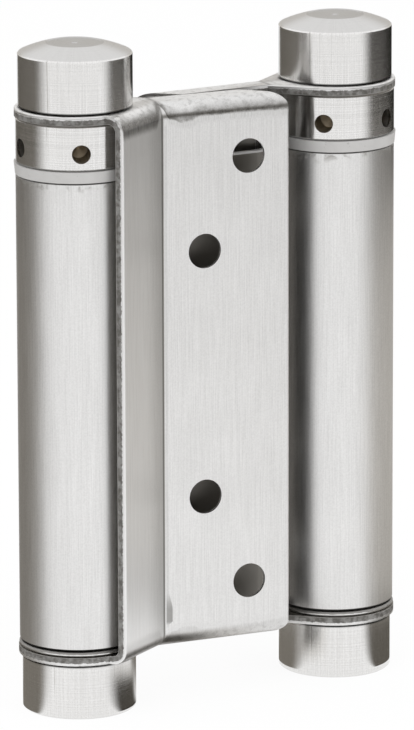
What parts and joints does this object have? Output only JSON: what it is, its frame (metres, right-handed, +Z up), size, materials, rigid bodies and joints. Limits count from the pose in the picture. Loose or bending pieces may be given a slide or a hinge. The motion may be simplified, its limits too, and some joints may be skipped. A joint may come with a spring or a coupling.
{
  "type": "double action spring hinge",
  "caption": "Double action spring hinge in satin stainless steel: twin barrels joined by a web, with a folded screw-on leaf on each side and tension collars.",
  "frame": {"origin": "middle between the two foot caps, on the surface they stand on", "axes": "+Z up along the barrels, +X from the front leaf's barrel to the rear leaf's barrel, +Y away from the front leaf"},
  "size_m": [0.0752, 0.0271, 0.1214],
  "materials": {
    "leaf_steel": "satin, brushed upright",
    "barrel_steel": "satin, brushed upright",
    "turned_steel": "fine turned",
    "washer_steel": "plain",
    "spring_steel": "oiled",
    "inner_steel": "plain turned",
    "nylon": "natural white"
  },
  "bodies": {
    "barrels": {"double_barrel_web": "barrel_steel", "front_bush": "nylon", "front_washer": "washer_steel", "front_lower_plug": "inner_steel", "front_spring": "spring_steel", "rear_bush": "nylon", "rear_washer": "washer_steel", "rear_lower_plug": "inner_steel", "rear_spring": "spring_steel"},
    "front_leaf": {"front_leaf": "leaf_steel", "front_top_cap": "turned_steel", "front_bottom_cap": "turned_steel", "front_spindle": "inner_steel"},
    "rear_leaf": {"rear_leaf": "leaf_steel", "rear_top_cap": "turned_steel", "rear_bottom_cap": "turned_steel", "rear_spindle": "inner_steel"},
    "front_collar": {"front_tension_collar": "turned_steel"},
    "rear_collar": {"rear_tension_collar": "turned_steel"}
  },
  "joints": [
    {"name": "front_leaf_swing", "type": "hinge", "parent": "barrels", "child": "front_leaf", "pos_m": [-0.02665, 0, 0.06], "axis": [0, 0, -1], "range_deg": [0, 109.8], "stiffness_Nm_per_rad": 0.45, "deforming": ["front_spring"]},
    {"name": "front_collar_wind", "type": "hinge", "parent": "front_leaf", "child": "front_collar", "pos_m": [-0.02665, 0, 0.104], "axis": [0, 0, -1], "range_deg": [0, 216], "stiffness_Nm_per_rad": 0.45, "deforming": ["front_spring"]},
    {"name": "rear_leaf_swing", "type": "hinge", "parent": "barrels", "child": "rear_leaf", "pos_m": [0.02665, 0, 0.06], "axis": [0, 0, -1], "range_deg": [0, 115], "stiffness_Nm_per_rad": 0.45, "deforming": ["rear_spring"]},
    {"name": "rear_collar_wind", "type": "hinge", "parent": "rear_leaf", "child": "rear_collar", "pos_m": [0.02665, 0, 0.104], "axis": [0, 0, -1], "range_deg": [0, 216], "stiffness_Nm_per_rad": 0.45, "deforming": ["rear_spring"]}
  ]
}
